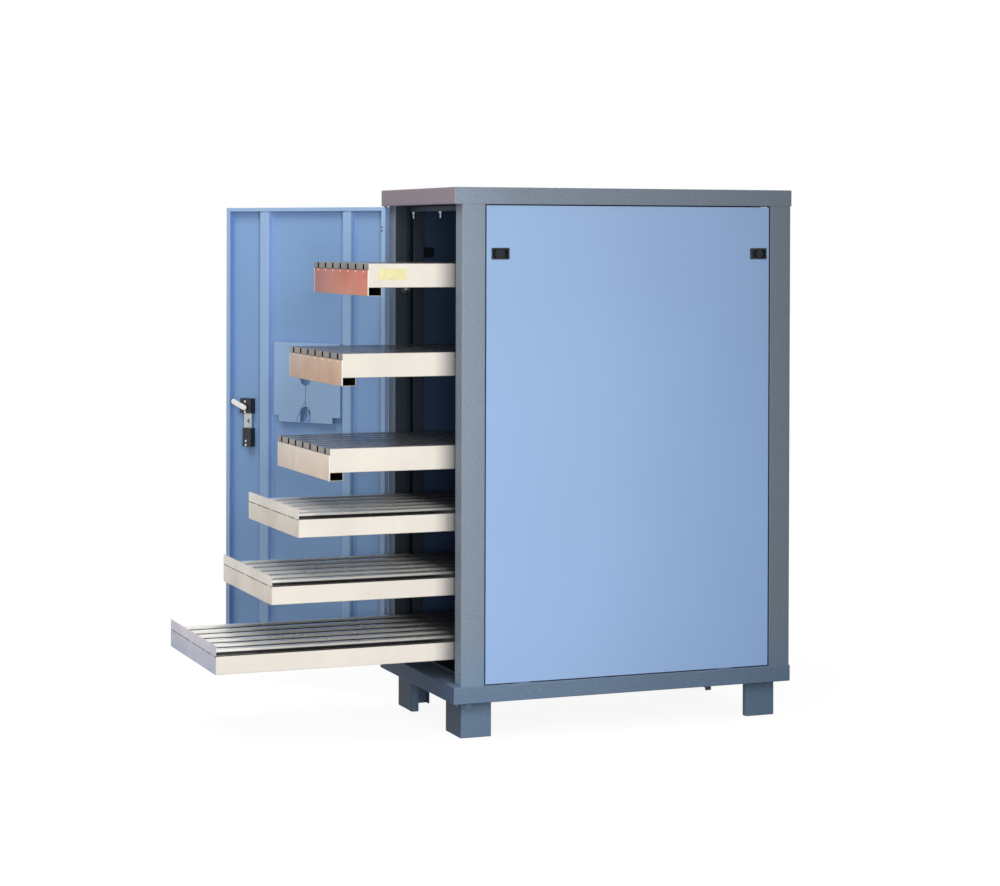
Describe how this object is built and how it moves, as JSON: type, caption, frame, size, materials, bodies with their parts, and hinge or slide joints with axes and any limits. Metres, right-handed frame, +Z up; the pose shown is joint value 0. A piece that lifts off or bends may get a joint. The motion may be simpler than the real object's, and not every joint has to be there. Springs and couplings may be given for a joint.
{
  "type": "tool cabinet",
  "caption": "Tall steel cabinet for press-brake tools with a swinging door, slotted upper pull-out trays and ridged lower ones on rollers.",
  "frame": {"origin": "on the floor under the middle of the cabinet's body", "axes": "+X to the right seen from the front, +Y to the back, +Z up; trays pull out along -Y"},
  "size_m": [1.0786, 1.6276, 1.465],
  "materials": {
    "frame_coat": "fine textured powder coat",
    "panel_coat": "satin powder coat",
    "door_coat": "satin powder coat",
    "bright_steel": "bright cold rolled",
    "zinc_plate": "zinc plated",
    "black_plastic": "matte moulded",
    "roller_plastic": "smooth moulded"
  },
  "bodies": {
    "cabinet": {"top_cap": "frame_coat", "base_frame": "frame_coat", "foot_tabs": "frame_coat", "feet": "frame_coat", "foot_bolts": "frame_coat", "front_right_post": "frame_coat", "front_left_post": "frame_coat", "rear_right_post": "frame_coat", "rear_left_post": "frame_coat", "rear_panel": "panel_coat", "rear_panel_screws": "zinc_plate", "right_side_panel": "panel_coat", "left_side_panel": "panel_coat", "latch_housings": "black_plastic", "top_front_rail": "frame_coat", "rail_bolts": "zinc_plate", "floor_panel": "frame_coat", "runner_uprights": "frame_coat", "runner_rails": "zinc_plate", "front_roller_axles": "zinc_plate", "post_hinge_halves": "zinc_plate"},
    "door": {"door_leaf": "door_coat", "door_stiffeners": "door_coat", "document_holder": "door_coat", "lock_case": "black_plastic", "lock_plate": "zinc_plate", "door_hinge_halves": "zinc_plate"},
    "lock": {"lock_cam": "zinc_plate", "door_handle": "black_plastic"},
    "right_front_latch": {"right_front_latch_slider": "black_plastic"},
    "right_rear_latch": {"right_rear_latch_slider": "black_plastic"},
    "left_front_latch": {"left_front_latch_slider": "black_plastic"},
    "left_rear_latch": {"left_rear_latch_slider": "black_plastic"},
    "tray_1": {"tray_1_frame": "bright_steel", "tray_1_deck": "bright_steel", "tray_1_front": "bright_steel"},
    "tray_1_front_rollers": {"tray_1_front_rollers": "roller_plastic"},
    "tray_1_rear_rollers": {"tray_1_rear_rollers": "roller_plastic"},
    "tray_2": {"tray_2_frame": "bright_steel", "tray_2_deck": "bright_steel", "tray_2_front": "bright_steel"},
    "tray_2_front_rollers": {"tray_2_front_rollers": "roller_plastic"},
    "tray_2_rear_rollers": {"tray_2_rear_rollers": "roller_plastic"},
    "tray_3": {"tray_3_frame": "bright_steel", "tray_3_deck": "bright_steel", "tray_3_front": "bright_steel"},
    "tray_3_front_rollers": {"tray_3_front_rollers": "roller_plastic"},
    "tray_3_rear_rollers": {"tray_3_rear_rollers": "roller_plastic"},
    "tray_4": {"tray_4_frame": "bright_steel", "tray_4_deck": "bright_steel"},
    "tray_4_front_rollers": {"tray_4_front_rollers": "roller_plastic"},
    "tray_4_rear_rollers": {"tray_4_rear_rollers": "roller_plastic"},
    "tray_5": {"tray_5_frame": "bright_steel", "tray_5_deck": "bright_steel"},
    "tray_5_front_rollers": {"tray_5_front_rollers": "roller_plastic"},
    "tray_5_rear_rollers": {"tray_5_rear_rollers": "roller_plastic"},
    "tray_6": {"tray_6_frame": "bright_steel", "tray_6_deck": "bright_steel"},
    "tray_6_front_rollers": {"tray_6_front_rollers": "roller_plastic"},
    "tray_6_rear_rollers": {"tray_6_rear_rollers": "roller_plastic"}
  },
  "joints": [
    {"name": "door_swing", "type": "hinge", "parent": "cabinet", "child": "door", "pos_m": [-0.292, -0.49, 0.7825], "axis": [0, 0, 1], "range_deg": [-34.5, 55]},
    {"name": "lock_turn", "type": "hinge", "parent": "door", "child": "lock", "pos_m": [-0.71066, -0.77773, 0.824], "axis": [-0.5664, 0.8241, 0], "range_deg": [-22, 68]},
    {"name": "right_front_latch_slide", "type": "slide", "parent": "cabinet", "child": "right_front_latch", "axis": [0, 1, 0], "range_m": [0, 0.01]},
    {"name": "right_rear_latch_slide", "type": "slide", "parent": "cabinet", "child": "right_rear_latch", "axis": [0, -1, 0], "range_m": [0, 0.01]},
    {"name": "left_front_latch_slide", "type": "slide", "parent": "cabinet", "child": "left_front_latch", "axis": [0, 1, 0], "range_m": [0, 0.01]},
    {"name": "left_rear_latch_slide", "type": "slide", "parent": "cabinet", "child": "left_rear_latch", "axis": [0, -1, 0], "range_m": [0, 0.01]},
    {"name": "tray_1_slide", "type": "slide", "parent": "cabinet", "child": "tray_1", "axis": [0, -1, 0], "range_m": [-0.2452, 0.4748]},
    {"name": "tray_1_front_roll", "type": "hinge", "parent": "cabinet", "child": "tray_1_front_rollers", "pos_m": [0, -0.45, 1.18495], "axis": [1, 0, 0], "continuous": true},
    {"name": "tray_1_rear_roll", "type": "hinge", "parent": "tray_1", "child": "tray_1_rear_rollers", "pos_m": [0, 0.1658, 1.219], "axis": [1, 0, 0], "continuous": true},
    {"name": "tray_2_slide", "type": "slide", "parent": "cabinet", "child": "tray_2", "axis": [0, -1, 0], "range_m": [-0.316, 0.404]},
    {"name": "tray_2_front_roll", "type": "hinge", "parent": "cabinet", "child": "tray_2_front_rollers", "pos_m": [0, -0.45, 0.94945], "axis": [1, 0, 0], "continuous": true},
    {"name": "tray_2_rear_roll", "type": "hinge", "parent": "tray_2", "child": "tray_2_rear_rollers", "pos_m": [0, 0.095, 0.9835], "axis": [1, 0, 0], "continuous": true},
    {"name": "tray_3_slide", "type": "slide", "parent": "cabinet", "child": "tray_3", "axis": [0, -1, 0], "range_m": [-0.3502, 0.3698]},
    {"name": "tray_3_front_roll", "type": "hinge", "parent": "cabinet", "child": "tray_3_front_rollers", "pos_m": [0, -0.45, 0.70195], "axis": [1, 0, 0], "continuous": true},
    {"name": "tray_3_rear_roll", "type": "hinge", "parent": "tray_3", "child": "tray_3_rear_rollers", "pos_m": [0, 0.0608, 0.736], "axis": [1, 0, 0], "continuous": true},
    {"name": "tray_4_slide", "type": "slide", "parent": "cabinet", "child": "tray_4", "axis": [0, -1, 0], "range_m": [-0.4334, 0.2866]},
    {"name": "tray_4_front_roll", "type": "hinge", "parent": "cabinet", "child": "tray_4_front_rollers", "pos_m": [0, -0.45, 0.53645], "axis": [1, 0, 0], "continuous": true},
    {"name": "tray_4_rear_roll", "type": "hinge", "parent": "tray_4", "child": "tray_4_rear_rollers", "pos_m": [0, -0.0224, 0.5705], "axis": [1, 0, 0], "continuous": true},
    {"name": "tray_5_slide", "type": "slide", "parent": "cabinet", "child": "tray_5", "axis": [0, -1, 0], "range_m": [-0.5052, 0.2148]},
    {"name": "tray_5_front_roll", "type": "hinge", "parent": "cabinet", "child": "tray_5_front_rollers", "pos_m": [0, -0.45, 0.36555], "axis": [1, 0, 0], "continuous": true},
    {"name": "tray_5_rear_roll", "type": "hinge", "parent": "tray_5", "child": "tray_5_rear_rollers", "pos_m": [0, -0.0942, 0.3996], "axis": [1, 0, 0], "continuous": true},
    {"name": "tray_6_slide", "type": "slide", "parent": "cabinet", "child": "tray_6", "axis": [0, -1, 0], "range_m": [-0.6536, 0.0664]},
    {"name": "tray_6_front_roll", "type": "hinge", "parent": "cabinet", "child": "tray_6_front_rollers", "pos_m": [0, -0.45, 0.19395], "axis": [1, 0, 0], "continuous": true},
    {"name": "tray_6_rear_roll", "type": "hinge", "parent": "tray_6", "child": "tray_6_rear_rollers", "pos_m": [0, -0.2426, 0.228], "axis": [1, 0, 0], "continuous": true}
  ],
  "couplings": [
    {"joint": "tray_1_front_roll", "follows": "tray_1_slide", "rad_per_m": 71.429},
    {"joint": "tray_1_rear_roll", "follows": "tray_1_slide", "rad_per_m": 71.429},
    {"joint": "tray_2_front_roll", "follows": "tray_2_slide", "rad_per_m": 71.429},
    {"joint": "tray_2_rear_roll", "follows": "tray_2_slide", "rad_per_m": 71.429},
    {"joint": "tray_3_front_roll", "follows": "tray_3_slide", "rad_per_m": 71.429},
    {"joint": "tray_3_rear_roll", "follows": "tray_3_slide", "rad_per_m": 71.429},
    {"joint": "tray_4_front_roll", "follows": "tray_4_slide", "rad_per_m": 71.429},
    {"joint": "tray_4_rear_roll", "follows": "tray_4_slide", "rad_per_m": 71.429},
    {"joint": "tray_5_front_roll", "follows": "tray_5_slide", "rad_per_m": 71.429},
    {"joint": "tray_5_rear_roll", "follows": "tray_5_slide", "rad_per_m": 71.429},
    {"joint": "tray_6_front_roll", "follows": "tray_6_slide", "rad_per_m": 71.429},
    {"joint": "tray_6_rear_roll", "follows": "tray_6_slide", "rad_per_m": 71.429}
  ]
}
